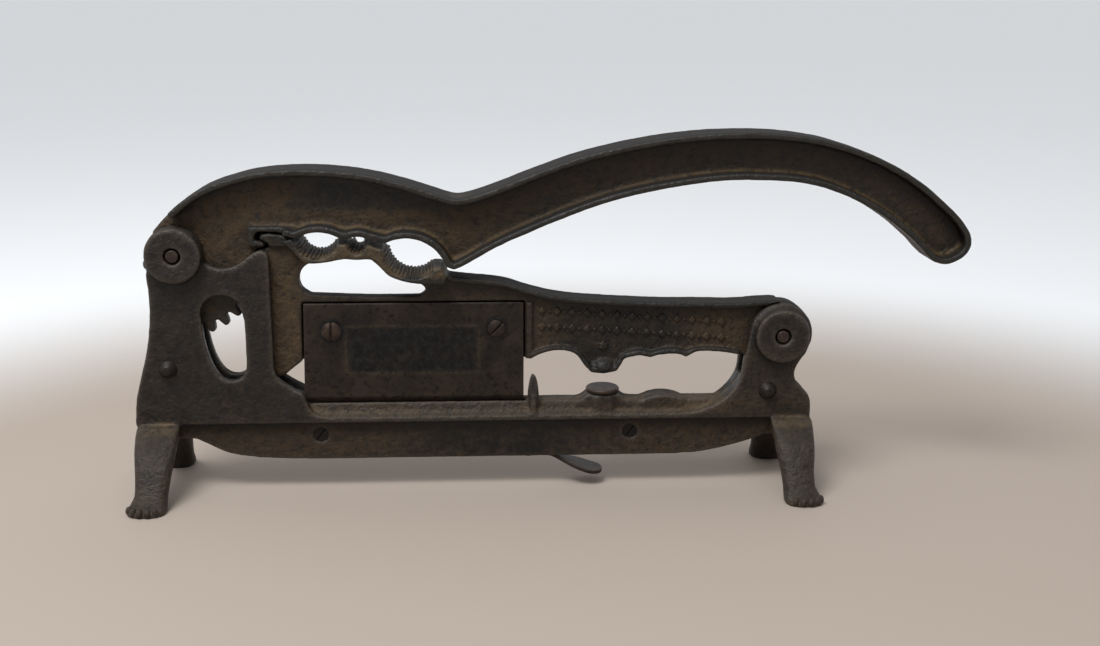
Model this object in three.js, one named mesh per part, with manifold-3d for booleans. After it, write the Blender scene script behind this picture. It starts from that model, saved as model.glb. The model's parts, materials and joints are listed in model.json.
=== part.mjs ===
// Cast-iron compound lever cutter. Millimetres, +X along the length, +Z up, the front faces -Y.
// Two mirrored frame castings hold a geared hand lever and a blade carrier that it lifts.
import * as THREE from 'three';
import { mergeVertices } from 'three/addons/utils/BufferGeometryUtils.js';
import Module from 'manifold-3d';

const wasm = await Module();
wasm.setup();

// ---- driving dimensions -------------------------------------------------------------------
const LEVER_PIVOT = [-194, 126];      // X, Z of the hand lever's pin
const CARRIER_PIVOT = [114, 82];      // X, Z of the blade carrier's pin
const SECTOR_TEETH = 34;              // full-circle tooth count of the lever's sector
const CARRIER_TEETH = 216;            // full-circle tooth count of the carrier's rack arc
const FIRST_TOOTH_DEG = 5.6;          // direction of the sector's top tooth
const SECTOR_TEETH_KEPT = 8;
const BACKLASH = 0.3;

const CENTRE_SHIFT = 4.7;             // puts the middle of the whole length at X = 0

const PLATE_FRONT = 9;                // half the distance over both frame plates
const PLATE_INNER = 4.3;              // half the slot between the plates
const LEVER_HALF = 3.5;               // half thickness of the lever's and carrier's webs
const BOSS_FACE = 14;                 // half the distance over the pivot bosses
const BOSS_R = 14;
const PLATE_HEAD_R = 14.4;            // rounding of the left upright behind its boss
const PLATE_RIGHT_HEAD_R = 16.4;      // the same on the right
const PIN_R = 3.3;
const BORE_R = 3.65;
const KEEL_FACE = 5;                  // half thickness of the keel under the rail
const SEAM = 0.15;                    // half the joint line between the two castings
const PLATE_BOTTOM = 37;
const LIP_TOP = 40;
const CREST = 47;                     // top of the rail
const KEEL_BOTTOM = 16;
const FLANGE_HALF = 12;               // half width of the hand lever's flanges and of the jaws
const CARRIER_FLANGE_HALF = 7.5;
const BLADE_FRONT = -3.3;
const BLADE_THICK = 2.4;
const BLADE = { left: -132, right: -19.6, bottom: 44.5, top: 99.2 };
const BLADE_LEAN = 1.2;
const FIT = 0.3;                      // gap between separate touching pieces

// ---- derived gear sizes -------------------------------------------------------------------
const dx = CARRIER_PIVOT[0] - LEVER_PIVOT[0];
const dz = CARRIER_PIVOT[1] - LEVER_PIVOT[1];
const centreDistance = Math.hypot(dx, dz);
const lineAngle = Math.atan2(dz, dx);
const gearModule = (2 * centreDistance) / (SECTOR_TEETH + CARRIER_TEETH);
const sectorR = (gearModule * SECTOR_TEETH) / 2;
const carrierR = (gearModule * CARRIER_TEETH) / 2;
const PRESSURE = THREE.MathUtils.degToRad(20);

// ---- small geometry helpers ---------------------------------------------------------------
const polar = (centre, r, a) => [centre[0] + r * Math.cos(a), centre[1] + r * Math.sin(a)];

// Points on an arc from angle a to angle b, in degrees.
function arc(centre, r, a, b, steps = 12) {
  const points = [];
  for (let i = 0; i <= steps; i++) {
    const t = THREE.MathUtils.degToRad(a + ((b - a) * i) / steps);
    points.push(polar(centre, r, t));
  }
  return points;
}

// A smooth line through hand-placed points.
function smooth(points, steps = 3) {
  const curve = new THREE.CatmullRomCurve3(
    points.map(([x, z]) => new THREE.Vector3(x, z, 0)), false, 'centripetal');
  return curve.getPoints((points.length - 1) * steps).map((p) => [p.x, p.y]);
}

const shapeOf = (points) => new THREE.Shape(points.map(([x, z]) => new THREE.Vector2(x, z)));

// A plate with an X-Z outline, from y0 to y1.
function plate(points, y0, y1) {
  const geometry = new THREE.ExtrudeGeometry(shapeOf(points), {
    depth: y1 - y0, bevelEnabled: false, curveSegments: 12 });
  geometry.rotateX(Math.PI / 2);
  geometry.translate(0, y1, 0);
  return geometry;
}

// A bar with a Y-Z section, from x0 to x1.
function bar(points, x0, x1) {
  const geometry = new THREE.ExtrudeGeometry(shapeOf(points), {
    depth: x1 - x0, bevelEnabled: false });
  geometry.applyMatrix4(new THREE.Matrix4().set(0, 0, 1, x0, 1, 0, 0, 0, 0, 1, 0, 0, 0, 0, 0, 1));
  return geometry;
}

// A turned piece about an axis along Y; profile rows are [radius, y].
function turned(centre, profile, segments = 32) {
  const points = profile.map(([r, y]) => new THREE.Vector2(r, y));
  const geometry = new THREE.LatheGeometry(points, segments);
  geometry.translate(centre[0], 0, centre[1]);
  return geometry;
}

function rod(centre, r, y0, y1, segments = 32) {
  return turned(centre, [[0, y0], [r, y0], [r, y1], [0, y1]], segments);
}

// A turned piece about an upright axis at a given X; profile rows are [radius, z].
function turnedUpright(x, profile, segments = 28) {
  const points = profile.map(([r, z]) => new THREE.Vector2(r, z));
  const geometry = new THREE.LatheGeometry(points, segments);
  geometry.rotateX(Math.PI / 2);
  geometry.translate(x, 0, 0);
  return geometry;
}

// A round upright bar at a given X.
const upright = (x, r, z0, z1) => turnedUpright(x, [[0, z0], [r, z0], [r, z1], [0, z1]], 20);

// The strip of a given thickness on the left-hand side of a path.
function band(path, thickness) {
  const inner = path.map((p, i) => {
    const a = path[Math.max(0, i - 1)];
    const b = path[Math.min(path.length - 1, i + 1)];
    const length = Math.hypot(b[0] - a[0], b[1] - a[1]) || 1;
    return [p[0] - ((b[1] - a[1]) / length) * thickness, p[1] + ((b[0] - a[0]) / length) * thickness];
  });
  return [...path, ...inner.reverse()];
}

function solid(geometry) {
  const g = geometry.clone();
  g.deleteAttribute('normal');
  g.deleteAttribute('uv');
  const m = mergeVertices(g, 1e-4);
  const make = (flip) => {
    const index = Uint32Array.from(m.index.array);
    if (flip) {
      for (let i = 0; i < index.length; i += 3) {
        [index[i], index[i + 1]] = [index[i + 1], index[i]];
      }
    }
    return new wasm.Manifold(new wasm.Mesh({
      numProp: 3, vertProperties: Float32Array.from(m.attributes.position.array), triVerts: index }));
  };
  const first = make(false);
  return first.volume() >= 0 ? first : make(true);
}

const join = (...parts) => parts.map(solid).reduce((a, b) => a.add(b));

function toGeometry(manifold) {
  const mesh = manifold.getMesh();
  const geometry = new THREE.BufferGeometry();
  geometry.setAttribute('position', new THREE.BufferAttribute(Float32Array.from(mesh.vertProperties), 3));
  geometry.setIndex(new THREE.BufferAttribute(Uint32Array.from(mesh.triVerts), 1));
  geometry.computeVertexNormals();
  return geometry;
}

// ---- gear teeth ---------------------------------------------------------------------------
const involute = (a) => Math.tan(a) - a;

// Half the angle that one tooth covers at radius r.
function toothHalfAngle(r, pitchR, teeth) {
  const baseR = pitchR * Math.cos(PRESSURE);
  const at = Math.acos(Math.min(1, baseR / Math.max(r, baseR)));
  return Math.PI / (2 * teeth) - BACKLASH / (4 * pitchR) + involute(PRESSURE) - involute(at);
}

// One tooth as points from its lower flank over the tip to its upper flank.
function tooth(centre, pitchR, teeth, middle, turn = 1) {
  const radii = [-1.2, -0.5, 0, 0.5, 0.85].map((k) => pitchR + k * gearModule);
  const low = radii.map((r) => polar(centre, r, middle - turn * toothHalfAngle(r, pitchR, teeth)));
  const high = radii.map((r) => polar(centre, r, middle + turn * toothHalfAngle(r, pitchR, teeth)));
  return [...low, ...high.reverse()];
}

// The sector's toothed edge, from its lowest tooth up to its top one.
function sectorTeeth() {
  const pitch = (2 * Math.PI) / SECTOR_TEETH;
  const top = THREE.MathUtils.degToRad(FIRST_TOOTH_DEG);
  const points = [];
  for (let k = SECTOR_TEETH_KEPT - 1; k >= 0; k--) {
    points.push(...tooth(LEVER_PIVOT, sectorR, SECTOR_TEETH, top - k * pitch));
  }
  return points;
}

// The carrier's toothed edge, from the hooked top finger down. Its teeth stand in the sector's gaps.
function carrierTeeth() {
  const sectorPitch = (2 * Math.PI) / SECTOR_TEETH;
  const gapAboveTop = THREE.MathUtils.degToRad(FIRST_TOOTH_DEG) + sectorPitch / 2 - lineAngle;
  const ratio = SECTOR_TEETH / CARRIER_TEETH;
  const points = [];
  for (let k = 0; k < SECTOR_TEETH_KEPT + 1; k++) {
    const above = (gapAboveTop - k * sectorPitch) * ratio;
    points.push(...tooth(CARRIER_PIVOT, carrierR, CARRIER_TEETH, Math.PI + lineAngle - above));
  }
  return points;
}

// ---- frame castings -----------------------------------------------------------------------
const RAIL_LEFT = -131;
const RAIL_RIGHT = 85;

function leftUpright() {
  const head = arc(LEVER_PIVOT, PLATE_HEAD_R, 205, -15, 18);
  return [
    [-219, PLATE_BOTTOM], ...smooth([[-217.6, 51], [-214.6, 62.5], [-211, 75.5], [-208.8, 87.5], [-207.9, 99],
      [-208, 109.5], [-208.6, 116]]), ...head,
    ...smooth([[-177, 120.4], [-173.5, 119], [-167, 119.2], [-161, 122], [-156, 126], [-151.5, 127.8], [-148.3, 126.3],
      [-147.4, 122.5]]),
    ...smooth([[-147.4, 66], [-145.8, 61.5], [-142.8, 58.6], [-137.6, 55.2], [-133.4, 52.8], [-131.5, 48.5],
      [-129.6, 44], [-126.6, 41.4], [-121, LIP_TOP]]), [-121, PLATE_BOTTOM],
  ];
}

function dWindow() {
  return [
    ...arc([-172.4, 95], 10.4, 190, 20, 12),
    ...smooth([[-161.1, 92], [-161, 75], [-161.4, 66], [-163.2, 62.4], [-167, 60.3], [-171, 60.6], [-174.6, 62.9],
      [-177.8, 68.3], [-180, 74.5], [-181.8, 83]]),
  ];
}

function rightUpright() {
  return [
    [60, PLATE_BOTTOM], [60, LIP_TOP], ...smooth([[72, 41], [84, 46.5], [90.6, 53], [94, 60], [95, 68], [96.6, 76]]),
    ...arc(CARRIER_PIVOT, PLATE_RIGHT_HEAD_R, 160, -12, 16),
    ...smooth([[127.6, 72], [124.4, 67.4], [122.3, 63], [122.4, 58.2], [126, 53.4], [129.7, 49.6], [131.3, 45.4],
      [131.6, PLATE_BOTTOM]]),
  ];
}

function keelOutline() {
  return [
    [-212, 28], ...smooth([[-189.5, 28], [-182.4, 24.4], [-173.2, 20], [-159, 17.4], [-140, 16.2]]),
    [-121, KEEL_BOTTOM], ...smooth([[60, KEEL_BOTTOM], [74.2, 17], [88, 19.8], [101.9, 23.8], [108, 26.4]]), [126, 27],
    [126, 42], [-212, 42],
  ];
}

// Rail section in Y-Z: keel top, lip, cove and crest. It is drawn for the front casting.
function railSection() {
  return [
    [-SEAM, PLATE_BOTTOM - 4], [-KEEL_FACE, PLATE_BOTTOM - 4], [-KEEL_FACE, PLATE_BOTTOM - 1.5],
    [-6.5, PLATE_BOTTOM], [-PLATE_FRONT, PLATE_BOTTOM], [-PLATE_FRONT, LIP_TOP - 0.6], [-8.4, LIP_TOP],
    [-7, 40.9], [-6, 42.4], [-5.3, 44.6], [-5, 46.4], [-4.6, CREST], [-SEAM, CREST],
  ];
}

// A leg as a stack of rounded sections; rows are [z, x shift, y, half width, half depth].
function leg(baseX, outward, rows) {
  const around = 20;
  const positions = [];
  const faces = [];
  rows.forEach(([z, shift, y, rx, ry]) => {
    for (let i = 0; i < around; i++) {
      const a = (i / around) * Math.PI * 2;
      const c = Math.cos(a);
      const s = Math.sin(a);
      positions.push(
        baseX + outward * shift + rx * Math.sign(c) * Math.abs(c) ** 0.8,
        y + ry * Math.sign(s) * Math.abs(s) ** 0.8, z);
    }
  });
  const levels = rows.length;
  for (let k = 0; k < levels - 1; k++) {
    for (let i = 0; i < around; i++) {
      const j = (i + 1) % around;
      faces.push(k * around + i, k * around + j, (k + 1) * around + j);
      faces.push(k * around + i, (k + 1) * around + j, (k + 1) * around + i);
    }
  }
  for (let i = 1; i < around - 1; i++) {
    faces.push(0, i + 1, i);
    faces.push((levels - 1) * around, (levels - 1) * around + i, (levels - 1) * around + i + 1);
  }
  const geometry = new THREE.BufferGeometry();
  geometry.setAttribute('position', new THREE.BufferAttribute(new Float32Array(positions), 3));
  geometry.setIndex(faces);
  return geometry;
}

const LEG_ROWS = [
  [0, 2, -35.5, 9.8, 8.4], [2.6, 1.8, -35, 9.8, 8.2], [5, 1, -33.4, 8.9, 6.9], [8, 0.3, -31.6, 8.3, 6.2],
  [14, 0, -28, 8.7, 6.3], [21, 0, -23.5, 9.7, 6.8], [27, 0, -18.6, 10.6, 7.3], [32, 0, -14, 10.9, 7],
  [35.4, 0, -10.8, 10.9, 6], [36.9, 0, -9.4, 10.6, 5],
];
const LEFT_LEG_X = -207.2;
const RIGHT_LEG_X = 121.2;
const REAR_RIGHT_LEG_X = 117.6;       // the rear casting's right leg stands a little further in

// Room between the two plates for what swings in them, from x0 to x1 and up from z0.
function slotBetweenPlates(x0, x1, z0) {
  return plate([[x0, z0], [x1, z0], [x1, 200], [x0, 200]], -PLATE_INNER, 20);
}

const LEFT_RIVET = [-200.6, 67];
const RIGHT_RIVET = [108, 52];
const KEEL_SCREWS = [[-125.3, 29.4], [36.5, 29.2]];
const ANVIL = [22, 0];

// The front casting, or the rear one without its blade slot and guide fin.
function frameCasting(isFront) {
  const body = join(
    plate(leftUpright(), -PLATE_FRONT, -SEAM),
    plate(rightUpright(), -PLATE_FRONT, -SEAM),
    plate(keelOutline(), -KEEL_FACE, -SEAM),
    bar(railSection(), RAIL_LEFT - 8, RAIL_RIGHT),
    turned(LEVER_PIVOT, [[0, -BOSS_FACE], [BOSS_R - 0.8, -BOSS_FACE], [BOSS_R, -BOSS_FACE + 0.8],
      [BOSS_R, -PLATE_INNER], [0, -PLATE_INNER]], 40),
    turned(CARRIER_PIVOT, [[0, -BOSS_FACE], [BOSS_R - 0.8, -BOSS_FACE], [BOSS_R, -BOSS_FACE + 0.8],
      [BOSS_R, -PLATE_INNER], [0, -PLATE_INNER]], 40),
    leg(LEFT_LEG_X, -1, LEG_ROWS),
    leg(isFront ? RIGHT_LEG_X : REAR_RIGHT_LEG_X, 1, LEG_ROWS),
    pedestal(), hump(), ...(isFront ? [guideFin()] : []), stopLug(),
  );
  let cut = body
    .subtract(solid(plate(dWindow(), -20, 1)))
    .subtract(solid(slotBetweenPlates(-230, -138, 54)))
    .subtract(solid(slotBetweenPlates(-140, -131, 50)))
    .subtract(solid(slotBetweenPlates(82, 140, 60)))
    .subtract(solid(counterbore(LEVER_PIVOT)))
    .subtract(solid(counterbore(CARRIER_PIVOT)))
    .subtract(solid(rod(LEFT_RIVET, 3.3, -20, 2, 20)))
    .subtract(solid(rod(RIGHT_RIVET, 3.3, -20, 2, 20)))
    .subtract(solid(upright(ANVIL[0], 3.4, 42, 70)))
    .subtract(solid(upright(TONGUE_RIVET_X, 1.85, 0, 22)))
    .subtract(solid(plate([[-24, 0], [1, 0], [1, 18.4], [-24, 18.4]], -3.4, 1)));
  for (const at of KEEL_SCREWS) {
    cut = cut.subtract(solid(rod(at, 2.3, -20, 2, 20)));
    if (isFront) {
      cut = cut.subtract(solid(turned(at, [[0, -KEEL_FACE - 1], [4.1, -KEEL_FACE - 1], [4.1, -KEEL_FACE + 0.6],
        [2.3, -2.6], [0, -2.6]], 24)));
    }
  }
  if (isFront) {
    cut = cut.subtract(solid(plate([[BLADE.left - 4, 41.5], [BLADE.right + 1.2, 41.5], [BLADE.right + 1.2, 60],
      [BLADE.left - 4, 60]], BLADE_FRONT - 0.4, 1)));
  }
  return cut;
}

function counterbore(at) {
  return turned(at, [[0, -BOSS_FACE - 1], [4.2, -BOSS_FACE - 1], [4.2, -BOSS_FACE + 2.4], [BORE_R, -BOSS_FACE + 3],
    [BORE_R, 1], [0, 1]], 32);
}

// The flared foot under the anvil button, rising from the rail's crest and cove.
function pedestal() {
  const height = CREST + 3.1;
  const round = turnedUpright(ANVIL[0], [[0, 41], [9, 41], [8.8, CREST], [8.2, height], [0, height]]);
  const half = plate([[0, 0], [60, 0], [60, 90], [0, 90]], -7.8, -SEAM);
  const flare = plate([[6, 43], ...smooth([[8, CREST - 0.4], [11.4, CREST + 0.8], [13.8, height]]),
    ...smooth([[30.2, height], [32.6, CREST + 0.8], [36, CREST - 0.4]]), [38, 43]], -6, -SEAM);
  return toGeometry(solid(round).intersect(solid(half)).add(solid(flare)));
}

// A low swelling of the rail's crest beside the anvil.
function hump() {
  const outline = [[42, 40.6], [42, CREST - 0.2], ...smooth([[43, CREST], [47.5, CREST + 1.6], [53.5, CREST + 2.2],
    [59.5, CREST + 1.6], [64, CREST]]), [64, 40.6]];
  return plate(outline, -6.4, -SEAM);
}

// The upright fin that keeps the blade's right end against the rail, with a ridge down to the lip.
function guideFin() {
  const outline = [[-17.6, 44], ...smooth([[-17.6, 50], [-16.8, 57], [-15.2, 61.2], [-13.4, 59.6], [-12.2, 55],
    [-11.6, 49], [-11, 44]])];
  const ridge = [[-3, 39.4], [-8.8, 39.4], [-8.7, 41], ...smooth([[-7.9, 44], [-7, 50], [-6, 56]]), [-3, 59.4]];
  return toGeometry(solid(plate(outline, -5.8, -2.2)).add(solid(bar(ridge, -15.9, -12.9))));
}

// A short lug on the pivot head that the lever's flange stops against when it is right up.
function stopLug() {
  return plate([[-207, 117.5], [-209.9, 119.4], [-209.9, 122.6], [-207, 124.5]], -8, -PLATE_INNER);
}

// ---- hand lever ---------------------------------------------------------------------------
const JAW = FIT / 2;

function leverTop() {
  return smooth([[-205, 136.8], [-198.6, 143.8], [-188.2, 153], [-178.2, 159.2], [-168, 163.2], [-153, 167.1],
    [-138, 168.6], [-118, 168.4], [-98.4, 166.2], [-78.6, 161.4], [-62, 156], [-53.5, 153.8], [-45.6, 155.2],
    [-32.8, 159.6], [-13.4, 167.1], [6, 174], [25.6, 179.1], [45.6, 183], [65, 185.5], [90, 186.7], [109.6, 186],
    [129, 183.4], [142, 180], [161, 173], [181, 161.7], [199, 147]], 3);
}

function leverEnd() {
  return smooth([[204, 141.8], [208.4, 135.4], [209.6, 130], [208, 125.2], [203.6, 121.4], [197, 119.1],
    [190.6, 120.6]], 3);
}

function leverUnder() {
  return smooth([[186, 124.9], [181.3, 129.9], [171, 138.6], [160.7, 145.6], [150.5, 151.3], [140.5, 155.8],
    [130, 159.3], [118, 161.7], [105.9, 162.6], [87, 163], [68.4, 161.4], [43.3, 157.2], [23.8, 152.4],
    [4.8, 145.8], [-14.3, 138], [-33.6, 129.4], [-51, 119.6], [-55.4, 117.9]], 3);
}

const HOOK_PAD_HALF = 5.8;            // half thickness of the lever and the carrier round the hook

// The part of a web's outline within a box, given by two corners, made thicker on both sides.
function thickened(outline, low, high) {
  const region = [low, [high[0], low[1]], high, [low[0], high[1]]];
  return solid(plate(outline, -HOOK_PAD_HALF, HOOK_PAD_HALF)).intersect(solid(plate(region, -20, 20)));
}

const UPPER_CUPS = [
  { centre: [-79, 113], r: 21, from: 18, to: 118 },
  { centre: [-103, 125.4], r: 9.6, from: 60, to: 120 },
  { centre: [-122.4, 117.1], r: 20.1, from: 60, to: 121 },
];
// The upper jaw's edge from the lever's lower tip to the notch for the carrier's finger.
function upperJaw() {
  const cups = UPPER_CUPS.flatMap(({ centre, r, from, to }) => arc(centre, r, from, to, 12));
  return cups.map(([x, z]) => [x, z + JAW]);
}

function leverNotch() {
  return [[-136.5, 134.9], [-140, 136], [-144, 136.7], [-152.6, 136.9], [-154.2, 135.6]];
}

function leverWeb() {
  const toothEdge = sectorTeeth().reverse();
  const root = sectorR - 1.3 * gearModule;
  return [
    ...leverTop(), ...leverEnd(), ...leverUnder(), ...upperJaw(), ...leverNotch(), ...toothEdge,
    polar(LEVER_PIVOT, root - 1, THREE.MathUtils.degToRad(-73)),
    polar(LEVER_PIVOT, 18, THREE.MathUtils.degToRad(-84)),
    ...arc(LEVER_PIVOT, 13.4, -100, -215, 10),
  ];
}

function handLever() {
  const outer = [...leverTop().slice(4), ...leverEnd(), ...leverUnder()];
  const flange = band(outer.reverse(), 3.2);
  const jawEdge = [...leverNotch().slice(0, 2).reverse(), ...upperJaw().reverse(), [-56.4, 118.4]];
  const jaw = band(jawEdge.reverse(), -3.4);
  return join(
    plate(leverWeb(), -LEVER_HALF, LEVER_HALF),
    plate(flange, -FLANGE_HALF, FLANGE_HALF),
    plate(jaw, -FLANGE_HALF, FLANGE_HALF),
  ).add(thickened(leverWeb(), [-157.6, 129.2], [-134, 139.4]))
    .subtract(solid(rod(LEVER_PIVOT, BORE_R, -20, 20)));
}

// ---- blade carrier ------------------------------------------------------------------------
const LOWER_CUPS = [
  { centre: [-123, 134.6], r: 10.8, from: 194, to: 342 },
  { centre: [-103.2, 131], r: 4.6, from: 174, to: 366 },
  { centre: [-75.5, 128.6], r: 15, from: 180, to: 318 },
];

function lowerJawTop() {
  const cups = LOWER_CUPS.flatMap(({ centre, r, from, to }) => arc(centre, r, from, to, 14));
  return [[-138.6, 133.4], [-135.6, 134.3], ...cups, [-61.2, 119.4], [-58.6, 114.6]].map(([x, z]) => [x, z - JAW]);
}

function lowerJawUnder() {
  return smooth([[-60, 110.5], [-71.8, 110.9], [-78.2, 111.7], [-83.1, 113.1], [-87.9, 115.3], [-91.7, 119.2],
    [-96, 123.4], [-103.4, 123.4], [-110, 123.8], [-119.6, 122.1], [-128.6, 121.9], [-132, 124.4], [-135.6, 128.4],
    [-140.2, 133.4]], 3);
}

function carrierTop() {
  return smooth([[-58.6, 114.2], [-49, 112.8], [-37.3, 111.8], [-28.7, 110.3], [-17.6, 106.8], [-5.7, 103.7],
    [6.3, 102], [22.5, 100.7], [51.8, 99.2], [70, 99], [88, 98.6], [100.5, 99.2]], 3);
}

function carrierUnder() {
  return [
    ...smooth([[93, 70.4], [84.5, 71.9], [77.2, 72.5], [69, 72.1], [65, 70.1]], 3),
    ...smooth([[65, 70.1], [60.9, 72], [54.6, 72.1], [49.9, 71.2], [46.3, 70.1]], 3),
    ...smooth([[46.3, 70.1], [40.5, 71.6], [34, 70], [30.4, 66.2], [28.6, 62.4], [22, 61.6], [15.6, 61.8],
      [13.4, 64.4], [10, 69], [6, 72.4], [-0.3, 73.7], [-6, 73.3], [-11.5, 71.7], [-16.6, 69]], 3),
  ];
}

function carrierWindow() {
  return [
    ...smooth([[-128, 104.2], [-132.4, 107.6], [-133.6, 112.6], [-131.6, 117.4], [-127.6, 120.2], [-119, 121.2],
      [-110, 122.6], [-97.6, 122.4]], 3),
    ...smooth([[-93.6, 118.9], [-88.8, 114], [-83.4, 111.4], [-78.2, 110], [-72, 109], [-69.6, 106],
      [-72.4, 103]], 3), [-100, 103],
  ];
}

function carrierWeb() {
  const hub = arc(CARRIER_PIVOT, 16.6, 95, -118, 20);
  return [
    ...carrierTeeth(), [-151.8, 61], [-143.8, 60.8], [-132.4, 69.8], [-16.6, 69],
    ...carrierUnder().reverse(), ...hub.reverse(), ...carrierTop().reverse(),
    ...lowerJawTop().reverse().slice(0, 3), ...lowerJawUnder().slice(1).map(([x, z]) => [x, z + 1.6]),
    [-143, 135.4], [-148, 135.6],
  ];
}

function bladeCarrier() {
  const top = band(carrierTop(), -2.6);
  const under = band(carrierUnder(), -2.2);
  const jaw = [...lowerJawTop(), ...lowerJawUnder()];
  const pocketCut = plate(bladeOutline(0.8), -10, BLADE_FRONT + BLADE_THICK + FIT);
  let body = join(
    plate(carrierWeb(), -LEVER_HALF, LEVER_HALF),
    plate(jaw, -FLANGE_HALF, FLANGE_HALF),
    plate(top, -CARRIER_FLANGE_HALF, CARRIER_FLANGE_HALF),
    plate(under, -5.4, 5.4),
    plate(flangeEnd(), -CARRIER_FLANGE_HALF, CARRIER_FLANGE_HALF),
    plate(bladeRib(), -5, -3),
    pressLobe(),
  ).add(thickened(carrierWeb(), [-153, 129.2], [-138.6, 137.2]));
  body = body.subtract(solid(pocketCut)).subtract(solid(rod(CARRIER_PIVOT, BORE_R, -20, 20)))
    .subtract(solid(plate(carrierWindow(), -20, 20)));
  for (const at of BLADE_SCREWS) {
    body = body.subtract(solid(rod(at, 2.35, -20, 20, 20)));
  }
  return body;
}

// The top flange runs out over the frame's pivot head, clear of it at every angle.
function flangeEnd() {
  return [[97, 96.9], ...arc(CARRIER_PIVOT, PLATE_RIGHT_HEAD_R + 0.6, 118, 92, 6), [113, 99.5], [110, 99.9],
    [104, 99.7], [97, 99.2]];
}

// The narrow rib that stands beside the blade's right end.
function bladeRib() {
  return [[-18.1, 69.4], [-15.2, 69.4], [-15.2, 99.5], [-18.1, 99.5]];
}

// The rounded nose that comes down over the anvil button.
function pressLobe() {
  return turnedUpright(ANVIL[0], [[0, 61.4], [5.6, 61.6], [7.2, 62.8], [7.4, 64.6], [6.2, 67], [4, 69.2], [0, 70.4]]);
}

// ---- blade and fasteners ------------------------------------------------------------------
const BLADE_SCREWS = [[-118.2, 84.8], [-33.7, 85.4]];

// The blade seen from the front; its left edge leans out a little towards the cutting edge.
function bladeOutline(grow) {
  const { left, right, bottom, top } = BLADE;
  return [[left - BLADE_LEAN - grow, bottom - grow], [right + grow, bottom - grow], [right + grow, top + grow],
    [left - grow, top + grow]];
}

function blade() {
  const { left, right, bottom, top } = BLADE;
  const back = BLADE_FRONT + BLADE_THICK;
  const section = [[back, top], [BLADE_FRONT, top], [BLADE_FRONT, bottom + 5], [back - 0.4, bottom], [back, bottom]];
  let body = solid(bar(section, left - BLADE_LEAN, right)).intersect(solid(plate(bladeOutline(0), -20, 20)));
  for (const at of BLADE_SCREWS) {
    body = body.subtract(solid(turned(at, [[0, BLADE_FRONT - 1], [4.4, BLADE_FRONT - 1], [4.4, BLADE_FRONT + 0.3],
      [2.5, BLADE_FRONT + 1.7], [2.5, 2], [0, 2]], 24)));
  }
  return body;
}

// A slotted screw whose low dome stands just proud of the blade. turnDeg is how its slot lies.
function bladeScrew(at, turnDeg) {
  const face = BLADE_FRONT - 0.9;
  const body = solid(turned(at, [[0, face], [2.6, face + 0.15], [4.9, face + 0.75], [5.3, BLADE_FRONT - 0.3],
    [4.1, BLADE_FRONT - 0.3], [4.1, BLADE_FRONT + 0.1], [2.1, BLADE_FRONT + 1.6], [2.1, 7.4], [0, 7.4]], 32));
  const slot = new THREE.BoxGeometry(1.1, 1.4, 14);
  slot.rotateY(THREE.MathUtils.degToRad(turnDeg));
  slot.translate(at[0], face + 0.35, at[1]);
  return body.subtract(solid(slot));
}

// A square nut on the back of the carrier.
function squareNut(at, halfSide, y0, y1, boreR) {
  const [x, z] = at;
  const outline = [[x - halfSide, z - halfSide], [x + halfSide, z - halfSide], [x + halfSide, z + halfSide],
    [x - halfSide, z + halfSide]];
  return solid(plate(outline, y0, y1)).subtract(solid(rod(at, boreR, -20, 20, 20)));
}

function domeRivet(at) {
  const face = PLATE_FRONT + FIT;
  const dome = [[0, -face - 3.1], [2, -face - 2.8], [3.8, -face - 1.8], [4.9, -face]];
  const mirrored = dome.slice().reverse().map(([r, y]) => [r, -y]);
  return solid(turned(at, [...dome, [3, -face], [3, face], ...mirrored], 24));
}

function pivotPin(at) {
  const end = BOSS_FACE - 0.6;
  return solid(turned(at, [[0, -end], [PIN_R - 0.5, -end], [PIN_R, -end + 0.5], [PIN_R, end - 0.5],
    [PIN_R - 0.5, end], [0, end]], 28));
}

function spacer(at) {
  return solid(rod(at, 5.4, -PLATE_INNER + FIT, PLATE_INNER - FIT, 24)).subtract(solid(rod(at, 3.3, -20, 20, 20)));
}

function keelScrew(at) {
  const face = -KEEL_FACE + 0.5;
  const body = solid(turned(at, [[0, face], [3.7, face], [3.7, face + 0.4], [2, -2.4], [2, 9.2], [0, 9.2]], 24));
  const slot = new THREE.BoxGeometry(0.9, 1.6, 12);
  slot.rotateY(0.6);
  slot.translate(at[0], face, at[1]);
  return body.subtract(solid(slot));
}

function anvilButton() {
  const base = CREST + 3.1 + FIT;
  return solid(turnedUpright(ANVIL[0], [[0, 43], [3.1, 43], [3.1, base], [8.2, base], [8.8, base + 0.6],
    [8.8, base + 1.6], [8.2, base + 2.2], [0, base + 2.2]], 32));
}

// The sloping steel tongue comes out of a groove in the keel and ends in a broad rounded leaf.
const TONGUE_RIVET_X = -17;

function tongue() {
  const topLine = smooth([[-23, 17.9], [-9, 17.9], [-4, 16.6], [2, 13.6], [9, 10.8], [17, 8.2], [23, 7.6]], 3);
  const side = plate(band(topLine, -1.8), -12, 12);
  const plan = new THREE.ExtrudeGeometry(shapeOf([[-22.5, -3], ...smooth([[-3, -3], [1, -4.4], [7, -7.4],
    [14, -8.8], [20.4, -6], [22.4, 0], [20.4, 6], [14, 8.8], [7, 7.4], [1, 4.4], [-3, 3]], 3), [-22.5, 3]]), {
    depth: 30, bevelEnabled: false });
  return solid(side).intersect(solid(plan)).subtract(solid(upright(TONGUE_RIVET_X, 1.85, 0, 30)));
}

function tongueRivet() {
  return solid(turnedUpright(TONGUE_RIVET_X, [[0, 14.7], [1.6, 14.8], [2.6, 15.2], [2.6, 15.8], [1.55, 15.8],
    [1.55, 21.5], [0, 21.5]], 20));
}

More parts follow.
